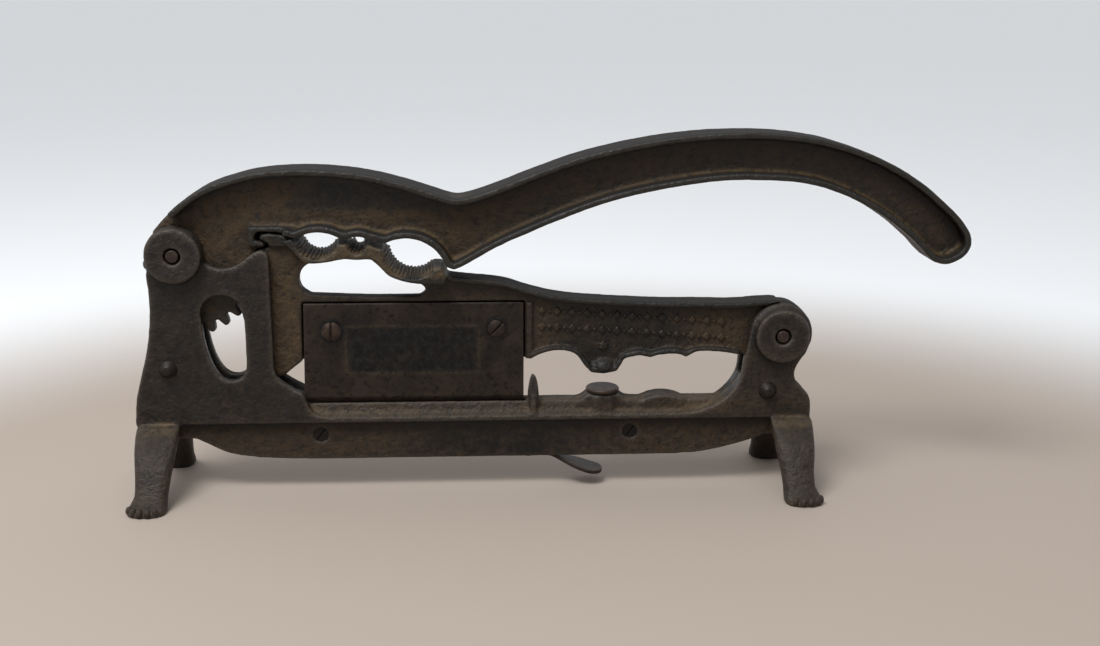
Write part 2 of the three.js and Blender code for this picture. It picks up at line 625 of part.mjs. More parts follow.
// ---- assembly -----------------------------------------------------------------------------
const CAST_IRON = { color: 0x3a302a, roughness: 0.62, metalness: 0.55 };
const CAST_BROWN = { color: 0x453628, roughness: 0.7, metalness: 0.45 };
const STEEL = { color: 0x4a443f, roughness: 0.45, metalness: 0.8 };

const cutter = new THREE.Group();
cutter.position.x = CENTRE_SHIFT;

function addPiece(name, body, finish) {
  const mesh = new THREE.Mesh(toGeometry(body), new THREE.MeshStandardMaterial(finish));
  mesh.name = name;
  cutter.add(mesh);
}

addPiece('front_frame', frameCasting(true), CAST_IRON);
addPiece('rear_frame', frameCasting(false).scale([1, -1, 1]), CAST_IRON);
addPiece('hand_lever', handLever(), CAST_BROWN);
addPiece('blade_carrier', bladeCarrier(), CAST_BROWN);
addPiece('blade', blade(), STEEL);
addPiece('blade_screw_left', bladeScrew(BLADE_SCREWS[0], 0), STEEL);
addPiece('blade_screw_right', bladeScrew(BLADE_SCREWS[1], 45), STEEL);
addPiece('blade_nut_left', squareNut(BLADE_SCREWS[0], 4.6, LEVER_HALF + FIT, 6.9, 2.4), STEEL);
addPiece('blade_nut_right', squareNut(BLADE_SCREWS[1], 4.6, LEVER_HALF + FIT, 6.9, 2.4), STEEL);
addPiece('lever_pivot_pin', pivotPin(LEVER_PIVOT), STEEL);
addPiece('carrier_pivot_pin', pivotPin(CARRIER_PIVOT), STEEL);
addPiece('left_tie_rivet', domeRivet(LEFT_RIVET), STEEL);
addPiece('right_tie_rivet', domeRivet(RIGHT_RIVET), STEEL);
addPiece('left_spacer', spacer(LEFT_RIVET), STEEL);
addPiece('anvil_button', anvilButton(), STEEL);
['left', 'right'].forEach((side, i) => {
  addPiece(`keel_screw_${side}`, keelScrew(KEEL_SCREWS[i]), STEEL);
  addPiece(`keel_nut_${side}`, squareNut(KEEL_SCREWS[i], 4.2, KEEL_FACE + FIT, 8.4, 2.3), STEEL);
});
addPiece('tongue', tongue(), STEEL);
addPiece('tongue_rivet', tongueRivet(), STEEL);

export default cutter;
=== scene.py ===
# The looks of the cast-iron strap cutter. Metres, +X along the rail, +Z up, the blade faces -Y.
# Every CAD solid is refined into a worn casting or a worn steel fastener in the same place.
import json
import math

import bmesh
import bpy
import numpy as np
from mathutils import Matrix, Vector, noise
from mathutils.kdtree import KDTree


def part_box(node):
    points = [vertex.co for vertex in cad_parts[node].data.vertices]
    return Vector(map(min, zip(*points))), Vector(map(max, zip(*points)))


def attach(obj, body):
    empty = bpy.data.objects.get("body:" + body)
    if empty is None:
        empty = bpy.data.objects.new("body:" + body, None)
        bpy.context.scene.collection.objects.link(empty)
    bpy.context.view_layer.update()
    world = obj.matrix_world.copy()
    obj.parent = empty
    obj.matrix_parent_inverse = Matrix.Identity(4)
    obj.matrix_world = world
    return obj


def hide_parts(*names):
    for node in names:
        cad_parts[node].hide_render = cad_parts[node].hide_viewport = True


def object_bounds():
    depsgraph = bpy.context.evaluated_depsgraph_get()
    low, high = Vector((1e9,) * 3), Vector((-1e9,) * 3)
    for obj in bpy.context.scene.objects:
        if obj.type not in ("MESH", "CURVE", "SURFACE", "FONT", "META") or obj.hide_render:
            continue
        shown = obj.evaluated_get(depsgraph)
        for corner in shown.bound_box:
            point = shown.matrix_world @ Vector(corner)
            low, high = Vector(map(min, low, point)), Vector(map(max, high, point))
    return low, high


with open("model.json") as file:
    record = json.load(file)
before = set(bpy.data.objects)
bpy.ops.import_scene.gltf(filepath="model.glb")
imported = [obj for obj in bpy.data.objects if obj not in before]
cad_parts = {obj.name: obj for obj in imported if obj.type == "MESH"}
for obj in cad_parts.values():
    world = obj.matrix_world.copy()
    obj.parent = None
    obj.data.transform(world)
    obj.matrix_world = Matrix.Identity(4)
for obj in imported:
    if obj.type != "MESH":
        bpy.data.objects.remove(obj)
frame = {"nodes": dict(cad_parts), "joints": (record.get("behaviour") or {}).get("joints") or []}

CAD_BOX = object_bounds()
MM = 0.001
JOINT = {j["name"]: Vector(j["pos_m"]) for j in frame["joints"]}
LEVER_PIN = JOINT["lever_hinge"]
CARRIER_PIN = JOINT["carrier_hinge"]
DRAWN_LEVER_PIN_X = -194.0             # the same pin in the part's drawing, where X starts elsewhere
SHIFT = LEVER_PIN.x / MM - DRAWN_LEVER_PIN_X


def at(x, z):
    """A place in the part's drawing, in mm, as X and Z in metres in the frame."""
    return ((x + SHIFT) * MM, z * MM)


# ---- camera -------------------------------------------------------------------------------
CAMERA_PLACE = Vector((-0.0407, -0.6582, 0.2571))
CAMERA_PITCH, CAMERA_YAW, CAMERA_ROLL = map(math.radians, (14.45, 3.44, 0.34))
CAMERA_LENS_MM = 42.94

# ---- how finely each piece is rebuilt -----------------------------------------------------
# voxel in mm, rounds of smoothing, share of triangles kept, height of the cast waviness in mm,
# and rounds of filleting in the hollow corners
CASTING = {"voxel": 0.62, "rounds": 6, "keep": 0.3, "wave": 0.16, "fillet": 24}
FINE_CASTING = {"voxel": 0.45, "rounds": 7, "keep": 0.3, "wave": 0.13, "fillet": 16}
STEEL_PLATE = {"voxel": 0.42, "rounds": 2, "keep": 0.25, "wave": 0.05, "fillet": 0}
FASTENER = {"voxel": 0.2, "rounds": 4, "keep": 0.4, "wave": 0.03, "fillet": 0}
ROOM = 1.8 * MM                        # how far a refined piece may stand out of its CAD box
FINE_ROUNDS, BROAD_ROUNDS = 8, 80      # rounds of blurring that find the edges and the hollows
SHARP_ANGLE = math.radians(50)         # crisp details keep their edges above this angle


# ---- mesh helpers -------------------------------------------------------------------------
def points_of(mesh):
    flat = np.empty(len(mesh.vertices) * 3, np.float32)
    mesh.vertices.foreach_get("co", flat)
    return flat.reshape(-1, 3).astype(float)


def set_points(mesh, points):
    mesh.vertices.foreach_set("co", points.astype(np.float32).ravel())
    mesh.update()


def normals_of(mesh):
    flat = np.empty(len(mesh.vertices) * 3, np.float32)
    mesh.vertex_normals.foreach_get("vector", flat)
    return flat.reshape(-1, 3).astype(float)


def edges_of(mesh):
    flat = np.empty(len(mesh.edges) * 2, np.int32)
    mesh.edges.foreach_get("vertices", flat)
    return flat.reshape(-1, 2)


def blur(values, edges, rounds):
    """Each row moves half way to the mean of its neighbours, the given number of times."""
    n = len(values)
    a, b = edges[:, 0], edges[:, 1]
    count = np.bincount(a, minlength=n) + np.bincount(b, minlength=n)
    count = np.maximum(count, 1)[:, None]
    for _ in range(rounds):
        total = np.stack([np.bincount(a, values[b, k], n) + np.bincount(b, values[a, k], n)
                          for k in range(values.shape[1])], axis=1)
        values = values * 0.5 + total / count * 0.5
    return values


def step(low, high, x):
    t = np.clip((x - low) / (high - low), 0, 1)
    return t * t * (3 - 2 * t)


def band_mask(x, low, high, soft):
    return step(low - soft, low + soft, x) * (1 - step(high - soft, high + soft, x))


def field(points, scale_mm, octaves=3, seed=0.0):
    """Smooth noise at each point, about -1 to 1; scale_mm is the size of its blotches."""
    k = 1000.0 / scale_mm
    offset = Vector((seed, seed * 0.7, -seed))
    return np.array([noise.fractal(Vector(p) * k + offset, 0.9, 2.0, octaves) for p in points])


def evaluated_mesh(obj):
    graph = bpy.context.evaluated_depsgraph_get()
    return bpy.data.meshes.new_from_object(obj.evaluated_get(graph))


def apply_modifier(obj, kind, **settings):
    modifier = obj.modifiers.new(kind.lower(), kind)
    for key, value in settings.items():
        setattr(modifier, key, value)
    made = evaluated_mesh(obj)
    obj.modifiers.clear()
    old = obj.data
    obj.data = made
    bpy.data.meshes.remove(old)


def closed_piece(bm, verts, faces):
    rows = [bm.verts.new(v) for v in verts]
    for f in faces:
        bm.faces.new([rows[i] for i in f])


def add_prism(bm, outline, y0, y1):
    """A closed prism with an X-Z outline, given in metres, from y0 to y1."""
    n = len(outline)
    verts = [(x, y0, z) for x, z in outline] + [(x, y1, z) for x, z in outline]
    faces = [tuple(range(n)), tuple(range(2 * n - 1, n - 1, -1))]
    faces += [(i, n + i, n + (i + 1) % n, (i + 1) % n) for i in range(n)]
    closed_piece(bm, verts, faces)


def add_ball(bm, centre, radii, turn, rings):
    """A closed ellipsoid; turn is about the vertical, in radians."""
    made = bmesh.ops.create_uvsphere(bm, u_segments=rings * 2, v_segments=rings, radius=1.0)
    place = (Matrix.Translation(Vector(centre)) @ Matrix.Rotation(turn, 4, "Z")
             @ Matrix.Diagonal((*radii, 1.0)))
    bmesh.ops.transform(bm, matrix=place, verts=made["verts"])


def add_rod(bm, path, radius, sides=8):
    """A closed round rod along a path of points in metres, a little thinner at its ends."""
    rows = []
    for i, p in enumerate(path):
        ahead = (path[min(i + 1, len(path) - 1)] - path[max(i - 1, 0)]).normalized()
        across = ahead.orthogonal().normalized()
        other = ahead.cross(across)
        r = radius * (0.6 if i in (0, len(path) - 1) else 1.0)
        rows.append([p + across * r * math.cos(2 * math.pi * k / sides)
                     + other * r * math.sin(2 * math.pi * k / sides) for k in range(sides)])
    for before, after in zip(rows, rows[1:]):
        turn = min(range(sides), key=lambda t: (after[t] - before[0]).length)
        after[:] = after[turn:] + after[:turn]
    verts = [v for row in rows for v in row]
    last = len(verts) - sides
    faces = [tuple(range(sides - 1, -1, -1)), tuple(range(last, last + sides))]
    for i in range(len(rows) - 1):
        for k in range(sides):
            a, b = i * sides + k, i * sides + (k + 1) % sides
            faces.append((a, b, b + sides, a + sides))
    closed_piece(bm, verts, faces)


def add_boss(bm, centre, outline, face_y, height):
    """A small cast boss on a front face: an X-Z outline that rises in three rounded steps."""
    levels = ((0.35, 1.0), (-0.45 * height, 0.93), (-0.85 * height, 0.72), (-height, 0.4))
    n = len(outline)
    verts = []
    for depth, size in levels:
        verts += [(centre[0] + x * size * MM, (face_y + depth) * MM, centre[1] + z * size * MM)
                  for x, z in outline]
    faces = [tuple(range(n - 1, -1, -1)), tuple(range(3 * n, 4 * n))]
    for level in range(3):
        for k in range(n):
            a, b = level * n + k, level * n + (k + 1) % n
            faces.append((a, b, b + n, a + n))
    closed_piece(bm, verts, faces)


def join_solids(obj, make):
    """Joins the closed solids that make(bm) draws to a piece, by boolean union."""
    bm = bmesh.new()
    make(bm)
    bmesh.ops.recalc_face_normals(bm, faces=bm.faces)
    mesh = bpy.data.meshes.new("detail")
    bm.to_mesh(mesh)
    bm.free()
    detail = bpy.data.objects.new("detail", mesh)
    bpy.context.scene.collection.objects.link(detail)
    apply_modifier(obj, "BOOLEAN", operation="UNION", solver="MANIFOLD", object=detail)
    bpy.data.objects.remove(detail)


def fill_corners(mesh, points, edges, rounds, away_from):
    """Fillets the hollow corners: points there move outwards only. Round holes are left alone."""
    free = np.ones(len(points))
    for centre, reach in away_from:
        flat = np.hypot(points[:, 0] - centre[0], points[:, 2] - centre[1]) / MM
        free *= step(reach, reach + 1.5, flat)
    for k in range(rounds):
        if k % 4 == 0:
            set_points(mesh, points)
            normals = normals_of(mesh)
        pull = np.einsum("ij,ij->i", blur(points, edges, 1) - points, normals)
        points = points + normals * (np.maximum(pull, 0) * free)[:, None]
    return points


def facing_up(normals):
    """1 where a surface faces up, 0 where it is steep or faces down."""
    return step(0.45, 0.85, normals[:, 2])


def wear_layers(points, edges, normals):
    """How much each point is a worn edge, a dusty ledge, a hollow facing sideways or down that takes
    painted shade, or a top face that takes painted shade.
    """
    close = blur(points, edges, FINE_ROUNDS)
    far = blur(close, edges, BROAD_ROUNDS)
    sharp = np.einsum("ij,ij->i", points - close, normals) / MM
    broad = np.einsum("ij,ij->i", points - far, normals) / MM
    hollow = np.clip(-broad * 1.3, 0, 1)
    upward = step(-0.05, 0.35, normals[:, 2])
    # The hollows facing sideways or down, and the faces turned up, are kept for painted shade.
    return {"rim": np.clip(sharp * 4.0, 0, 1), "ledge": hollow * upward, "shaded_nook": hollow * (1 - upward),
            "top": facing_up(normals) * (1 - hollow)}


def refine(node, body, quality, material, extras=None, details=None, *, paint,
           reshape=None, holes=()):
    """Rebuilds a CAD solid as a finely meshed piece with rounded edges and worn surfaces.

    reshape moves the CAD's points first, extras adds solids that the casting grows into, and
    details adds crisp ones at the end. paint gives the rust, grease and dust at each point;
    some of its black is painted shade.
    holes are places seen from the front, each with the radius in mm that stays unfilleted.
    """
    mesh = frame["nodes"][node].data.copy()
    if reshape:
        set_points(mesh, reshape(points_of(mesh)))
    if extras:
        bm = bmesh.new()
        bm.from_mesh(mesh)
        extras(bm)
        bm.to_mesh(mesh)
        bm.free()
    obj = bpy.data.objects.new(node + "_worn", mesh)
    bpy.context.scene.collection.objects.link(obj)
    apply_modifier(obj, "REMESH", mode="VOXEL", voxel_size=quality["voxel"] * MM)
    mesh = obj.data
    points, edges = points_of(mesh), edges_of(mesh)
    low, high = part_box(node)
    points = blur(points, edges, quality["rounds"])
    if quality["fillet"]:
        points = fill_corners(mesh, points, edges, quality["fillet"], holes)
        points = blur(points, edges, 2)
    set_points(mesh, points)
    normals = normals_of(mesh)
    wave = field(points, 9, 3, 3.1) * 0.7 + field(points, 2.6, 2, 8.3) * 0.3
    points = points + normals * (wave * quality["wave"] * MM)[:, None]
    points = np.clip(points, np.array(low) - ROOM, np.array(high) + ROOM)
    points = np.clip(points, np.array(CAD_BOX[0]), np.array(CAD_BOX[1]))
    set_points(mesh, points)
    layers = wear_layers(points, edges, normals)
    layers.update(paint(points, normals))
    tree = KDTree(len(points))
    for i, p in enumerate(points):
        tree.insert(p, i)
    tree.balance()
    apply_modifier(obj, "DECIMATE", ratio=quality["keep"])
    if details:
        join_solids(obj, details)
    mesh = obj.data
    found = np.array([tree.find(v.co)[1] for v in mesh.vertices])
    for name, values in layers.items():
        layer = mesh.attributes.new(name, "FLOAT", "POINT")
        layer.data.foreach_set("value", values[found].astype(np.float32))
    mesh.shade_smooth()
    if details:
        mesh.set_sharp_from_angle(angle=SHARP_ANGLE)
    mesh.materials.clear()
    mesh.materials.append(material)
    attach(obj, body)
    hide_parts(node)


# ---- materials ----------------------------------------------------------------------------
def colour(r, g, b):
    """An sRGB colour, 0 to 255, as linear values."""
    def line(c):
        c /= 255
        return c / 12.92 if c <= 0.04045 else ((c + 0.055) / 1.055) ** 2.4
    return (line(r), line(g), line(b), 1.0)


class Nodes:
    """Short ways to build one material's node tree."""

    def __init__(self, name):
        self.material = bpy.data.materials.new(name)
        self.material.use_nodes = True
        self.tree = self.material.node_tree
        self.shader = self.tree.nodes["Principled BSDF"]
        self.place = self.tree.nodes.new("ShaderNodeTexCoord").outputs["Object"]

    def new(self, kind, **values):
        node = self.tree.nodes.new(kind)
        for key, value in values.items():
            setattr(node, key, value)
        return node

    def link(self, a, b):
        self.tree.links.new(a, b)

    def noise(self, size_mm, detail=5, rough=0.6, distortion=0.0):
        node = self.new("ShaderNodeTexNoise")
        node.inputs["Scale"].default_value = 1000.0 / size_mm
        node.inputs["Detail"].default_value = detail
        node.inputs["Roughness"].default_value = rough
        node.inputs["Distortion"].default_value = distortion
        self.link(self.place, node.inputs["Vector"])
        return node.outputs["Fac"]

    def cells(self, size_mm):
        node = self.new("ShaderNodeTexVoronoi")
        node.inputs["Scale"].default_value = 1000.0 / size_mm
        self.link(self.place, node.inputs["Vector"])
        return node.outputs["Distance"]

    def layer(self, name):
        return self.new("ShaderNodeAttribute", attribute_name=name).outputs["Fac"]

    def ramp(self, fac, low, high):
        node = self.new("ShaderNodeMapRange", interpolation_type="SMOOTHSTEP")
        self.link(fac, node.inputs["Value"])
        node.inputs["From Min"].default_value = low
        node.inputs["From Max"].default_value = high
        return node.outputs["Result"]

    def math(self, operation, a, b):
        node = self.new("ShaderNodeMath", operation=operation, use_clamp=True)
        for socket, value in zip(node.inputs, (a, b)):
            if isinstance(value, (int, float)):
                socket.default_value = value
            else:
                self.link(value, socket)
        return node.outputs[0]

    def mix(self, fac, a, b):
        node = self.new("ShaderNodeMix", data_type="RGBA")
        for socket, value in zip((node.inputs[0], node.inputs[6], node.inputs[7]), (fac, a, b)):
            if isinstance(value, (int, float, tuple)):
                socket.default_value = value
            else:
                self.link(value, socket)
        return node.outputs[2]

    def blend(self, fac, a, b):
        node = self.new("ShaderNodeMix", data_type="FLOAT")
        for socket, value in zip((node.inputs[0], node.inputs[2], node.inputs[3]), (fac, a, b)):
            if isinstance(value, (int, float)):
                socket.default_value = value
            else:
                self.link(value, socket)
        return node.outputs[0]

    def bump(self, height, distance_mm, strength, under=None):
        node = self.new("ShaderNodeBump")
        node.inputs["Distance"].default_value = distance_mm * MM
        node.inputs["Strength"].default_value = strength
        self.link(height, node.inputs["Height"])
        if under is not None:
            self.link(under, node.inputs["Normal"])
        return node.outputs["Normal"]

    def finish(self, base, rough, normal, metallic=0.0, specular=0.4):
        self.link(base, self.shader.inputs["Base Color"])
        self.link(rough, self.shader.inputs["Roughness"])
        self.link(normal, self.shader.inputs["Normal"])
        self.shader.inputs["Metallic"].default_value = metallic
        self.shader.inputs["Specular IOR Level"].default_value = specular
        return self.material


def cast_iron(name, dark, brown, rust, worn, top_shade):
    """Old cast iron: a gritty dark skin over brown, dust on the ledges and burnished edges that are
    brightened also as painted highlight, with painted shade in the hollows and on the top faces.
    """
    n = Nodes(name)
    blotch = n.ramp(n.noise(16, 6, 0.62, 0.6), 0.36, 0.66)
    fleck = n.ramp(n.noise(3.4, 6, 0.7), 0.42, 0.62)
    base = n.mix(n.math("MULTIPLY", blotch, 0.75), dark, brown)
    base = n.mix(n.math("MULTIPLY", fleck, 0.3), base, rust)
    rusty = n.math("MULTIPLY", n.layer("rust"), n.ramp(n.noise(5, 7, 0.7), 0.25, 0.68))
    base = n.mix(rusty, base, rust)
    dusty = n.math("MULTIPLY", n.layer("dust"), n.ramp(n.noise(2.4, 7, 0.72), 0.22, 0.7))
    base = n.mix(dusty, base, colour(98, 82, 56))
    ledge = n.math("MULTIPLY", n.layer("ledge"), n.ramp(n.noise(4, 6, 0.7), 0.25, 0.62))
    base = n.mix(n.math("MULTIPLY", ledge, 0.7), base, colour(86, 69, 42))
    greasy = n.math("MULTIPLY", n.layer("grease"), n.ramp(n.noise(7, 7, 0.68, 0.5), 0.28, 0.6))
    base = n.mix(greasy, base, colour(17, 16, 15))
    # painted shade: near black in the hollows that face sideways or down
    base = n.mix(n.math("MULTIPLY", n.layer("shaded_nook"), 0.9), base, colour(10, 9, 8))
    soot = n.ramp(n.noise(4.2, 6, 0.78, 0.4), 0.5, 0.64)
    base = n.mix(n.math("MULTIPLY", soot, 0.7), base, colour(12, 11, 10))
    chip = n.ramp(n.noise(3.1, 5, 0.75), 0.66, 0.73)
    base = n.mix(n.math("MULTIPLY", chip, 0.5), base, worn)
    # worn edges, made light enough to stand also as a painted highlight along them
    rim = n.math("MULTIPLY", n.layer("rim"), n.ramp(n.noise(4, 6, 0.7), 0.15, 0.6))
    base = n.mix(n.math("MULTIPLY", rim, 0.85), base, worn)
    # painted shade: faces turned up are darkened against the light from above
    shaded = n.layer("top")
    base = n.mix(n.math("MULTIPLY", shaded, top_shade), base, colour(14, 14, 13))
    rough = n.blend(rim, n.blend(greasy, n.blend(rusty, 0.46, 0.74), 0.34), 0.36)
    rough = n.blend(shaded, rough, 0.82)
    grit = n.noise(1.9, 4, 0.62)
    normal = n.bump(n.noise(5.5, 3, 0.5), 1.7, 0.45)
    normal = n.bump(grit, 1.2, 0.7, normal)
    normal = n.bump(n.ramp(n.cells(3.2), 0.0, 0.3), 0.16, 0.35, normal)
    return n.finish(base, rough, normal, metallic=0.0, specular=0.32)


def stained_steel(name):
    """The blade: browned plate steel with fine scratches along X and a dark oily stain."""
    n = Nodes(name)
    blotch = n.ramp(n.noise(13, 7, 0.64, 0.4), 0.34, 0.7)
    base = n.mix(blotch, colour(27, 23, 20), colour(50, 41, 33))
    rusty = n.math("MULTIPLY", n.layer("rust"), n.ramp(n.noise(4, 7, 0.72), 0.25, 0.7))
    base = n.mix(rusty, base, colour(52, 42, 33))
    greasy = n.math("MULTIPLY", n.layer("grease"), n.ramp(n.noise(6, 7, 0.7, 0.4), 0.2, 0.56))
    bluish = n.mix(n.ramp(n.noise(3.4, 6, 0.75), 0.45, 0.62), colour(13, 13, 14), colour(31, 33, 34))
    base = n.mix(greasy, base, bluish)
    pale = n.math("MULTIPLY", n.layer("dust"), n.ramp(n.noise(2.5, 7, 0.75), 0.35, 0.7))
    base = n.mix(pale, base, colour(76, 68, 54))
    rim = n.math("MULTIPLY", n.layer("rim"), n.ramp(n.noise(5, 6, 0.7), 0.2, 0.7))
    base = n.mix(n.math("MULTIPLY", rim, 0.6), base, colour(80, 70, 62))
    streak = n.new("ShaderNodeTexNoise")
    squeeze = n.new("ShaderNodeMapping")
    squeeze.inputs["Scale"].default_value = (50, 400, 800)
    n.link(n.place, squeeze.inputs["Vector"])
    n.link(squeeze.outputs["Vector"], streak.inputs["Vector"])
    streak.inputs["Scale"].default_value = 1.0
    speck = n.ramp(n.noise(2.6, 5, 0.75), 0.54, 0.62)
    base = n.mix(n.math("MULTIPLY", speck, 0.85), base, colour(11, 10, 9))
    chip = n.ramp(n.noise(3.7, 5, 0.8), 0.66, 0.72)
    base = n.mix(n.math("MULTIPLY", chip, 0.6), base, colour(92, 80, 62))
    rough = n.blend(greasy, n.blend(rusty, 0.48, 0.68), 0.4)
    normal = n.bump(streak.outputs["Fac"], 0.12, 0.4)
    normal = n.bump(n.noise(2.4, 5, 0.65), 0.7, 0.5, normal)
    return n.finish(base, rough, normal, metallic=0.15, specular=0.25)


def browned_steel(name, dark, light):
    """Pins, screws and rivets: browned steel, rubbed brighter on the high spots, with grime and painted
    shade in the hollows.
    """
    n = Nodes(name)
    base = n.mix(n.ramp(n.noise(3.5, 6, 0.65), 0.34, 0.68), dark, light)
    # darker in the hollows: grime, and painted shade in those that face sideways or down
    hollow_grime_and_shade = n.math("MULTIPLY", n.math("ADD", n.layer("ledge"), n.layer("shaded_nook")), 0.8)
    base = n.mix(hollow_grime_and_shade, base, colour(30, 22, 17))
    base = n.mix(n.layer("grease"), base, colour(19, 17, 16))
    rim = n.math("MULTIPLY", n.layer("rim"), n.ramp(n.noise(2, 6, 0.7), 0.2, 0.65))
    base = n.mix(n.math("MULTIPLY", rim, 0.5), base, colour(96, 85, 76))
    grain = n.noise(1.3, 5, 0.7)
    rough = n.blend(rim, n.blend(grain, 0.4, 0.62), 0.34)
    normal = n.bump(grain, 0.3, 0.5)
    return n.finish(base, rough, normal, metallic=0.2, specular=0.3)


# the frame's worn colour is light enough to serve also as a painted highlight on its edges
FRAME_IRON = cast_iron("frame_iron", colour(20, 18, 17), colour(38, 33, 29), colour(64, 50, 35),
                       colour(80, 72, 64), 0.2)
LEVER_IRON = cast_iron("lever_iron", colour(22, 20, 18), colour(42, 34, 27), colour(68, 52, 34),
                       colour(54, 52, 47), 0.85)
BLADE_STEEL = stained_steel("blade_steel")
FASTENER_STEEL = browned_steel("fastener_steel", colour(40, 31, 26), colour(66, 51, 42))


# ---- where things are, seen from the front -----------------------------------------------
PIVOTS = [(LEVER_PIN.x, LEVER_PIN.z), (CARRIER_PIN.x, CARRIER_PIN.z)]
BLADE_SCREWS = [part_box(n) for n in ("blade_screw_left", "blade_screw_right")]
KEEL_SCREWS = [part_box(n) for n in ("keel_screw_left", "keel_screw_right")]
PIVOT_CLEAR, SCREW_CLEAR = 6.5, 4.5    # no fillets within these distances of a pin or screw, mm
EDGE_CLEAR = 3.0                       # nor within this distance of the blade's outline, mm
# nor where the sector's teeth mesh with the carrier's: a place and its radius in mm
TOOTH_ZONE = [((LEVER_PIN.x + 38 * MM, LEVER_PIN.z - 14 * MM), 26)]


def middle(box):
    low, high = box
    return ((low.x + high.x) / 2, (low.z + high.z) / 2)


def near_places(points, places, reach, soft=1.0):
    """1 within a distance in mm of any of the places, seen from the front."""
    found = np.zeros(len(points))
    for x, z in places:
        flat = np.hypot(points[:, 0] - x, points[:, 2] - z) / MM
        found = np.maximum(found, 1 - step(reach - soft, reach + soft, flat))
    return found


# ---- the frame castings -------------------------------------------------------------------
LEG_Y = 8.5                            # the legs stand outside this distance from the middle, mm
FOOT_Y = 35.5                          # middle of the foot soles, mm
LEFT_FOOT_X = -209.2 + SHIFT
FEET_X = {"front_frame": (LEFT_FOOT_X, 123.2 + SHIFT), "rear_frame": (LEFT_FOOT_X, 119.6 + SHIFT)}
TOE_COUNT = 5
TOE_STEP = 25                          # degrees between neighbouring toes
TOE_SPLAY = 14                         # degrees that the toes turn out from the object's middle
TOE_REACH = (8.8, 7.3)                 # X and Y distance of the toes from the sole's middle, mm
TOE_SIZE = (1.75, 2.0, 2.45)           # half sizes of a toe, mm
TOE_LIFT = 2.5                         # height of a toe's middle above the floor, mm
FRAME_HOLES = [(p, PIVOT_CLEAR) for p in PIVOTS] + [(middle(b), SCREW_CLEAR) for b in KEEL_SCREWS]


def paint_frame(points, normals):
    """Rust on the recessed keel, pale dust on the rail's cove, and black in the slot: grease, and painted
    shade of the deep gap between the plates.
    """
    x, y, z = points[:, 0] / MM, np.abs(points[:, 1]) / MM, points[:, 2] / MM
    up = np.clip(normals[:, 2], 0, 1)
    legs = step(LEG_Y, LEG_Y + 3, y) * (1 - step(36, 38, z))
    keel = (1 - step(34, 37.5, z)) * (1 - legs)
    rail = band_mask(z, 39.5, 47.5, 0.8) * band_mask(x, -126, 96, 8)
    # black in the slot between the plates: grease, and painted shade of the deep gap
    slot_grease_and_shade = (1 - step(6, 11, y)) * step(48, 52, z)
    lower_right = band_mask(x, 60, 140, 12) * band_mask(z, 40, 75, 6)
    seam = legs * step(33, 36, z)
    return {
        "rust": np.clip(keel * 0.9 + rail * 0.45 + lower_right * 0.3 + legs * 0.3 + 0.1, 0, 1),
        "dust": np.clip(rail * up * 0.35 + seam * 0.5 + up * 0.08 + lower_right * 0.12, 0, 1),
        "grease": np.clip(band_mask(x, -70, 20, 30) * keel + slot_grease_and_shade + rail * band_mask(x, -70, 10, 14) * 0.3
                          + near_places(points, map(middle, KEEL_SCREWS), 4.4) * keel * 0.9, 0, 1),
    }


def toes(bm, node):
    """Five small toes along the outer front of each foot."""
    low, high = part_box(node)
    side = -1 if abs(low.y) > abs(high.y) else 1
    for foot_x, outward in zip(FEET_X[node], (-1, 1)):
        for k in range(TOE_COUNT):
            a = math.radians(TOE_STEP * (k - (TOE_COUNT - 1) / 2) + TOE_SPLAY * outward)
            x = foot_x + math.sin(a) * TOE_REACH[0]
            y = side * (FOOT_Y + math.cos(a) * TOE_REACH[1])
            size = [half * MM for half in TOE_SIZE]
            add_ball(bm, (x * MM, y * MM, TOE_LIFT * MM), size, -a * side, 6)


for node in ("front_frame", "rear_frame"):
    refine(node, "frame", CASTING, FRAME_IRON, paint=paint_frame,
           details=lambda bm, node=node: toes(bm, node), holes=FRAME_HOLES)


# ---- the hand lever -----------------------------------------------------------------------
def paint_lever(points, normals):
    """A brown rusty web between dark, handled flanges; the hook's pad is black with grease."""
    x, y, z = points[:, 0] / MM, np.abs(points[:, 1]) / MM, points[:, 2] / MM
    web = 1 - step(4, 8, y)
    hook = step(4.6, 5.4, y) * band_mask(x, -154, -128, 2) * (1 - step(139, 141, z))
    teeth = (1 - step(118, 124, z)) * (1 - step(-150, -140, x))
    middle_web = band_mask(x, -128, -50, 16) * step(146, 150, z)
    return {
        "rust": np.clip(web * (1 - 0.6 * middle_web) * 0.95 * (1 - 0.6 * step(20, 60, x)) + 0.1, 0, 1),
        "dust": np.clip(web * 0.12 * (1 - step(-60, 0, x)), 0, 1),
        "grease": np.clip(web * middle_web * 0.95 + (1 - web) * 0.75 + hook + teeth * 0.7
                          + web * band_mask(x, -20, 40, 14) * 0.4, 0, 1),
    }


# painted shade: a dark sheet behind the gap round the carrier's finger, where there is only deep shadow
def gap_shade_cheek(bm):
    """A thin dark cheek behind the hook, which backs the gap round the carrier's finger and stands there as
    painted shade.
    """
    plate = ((-158.4, 126.8), (-141.4, 138.4), 6.2, 7.6)
    root = ((-158.4, 129.6), (-154.8, 138.4), 2, 7)
    top = ((-158.4, 137.4), (-141.4, 139.4), 2, 7)
    for (x0, z0), (x1, z1), y0, y1 in (plate, root, top):
        add_prism(bm, [at(x0, z0), at(x1, z0), at(x1, z1), at(x0, z1)], y0 * MM, y1 * MM)


refine("hand_lever", "lever", CASTING, LEVER_IRON, extras=gap_shade_cheek,
       paint=paint_lever, holes=[(PIVOTS[0], PIVOT_CLEAR)] + TOOTH_ZONE)


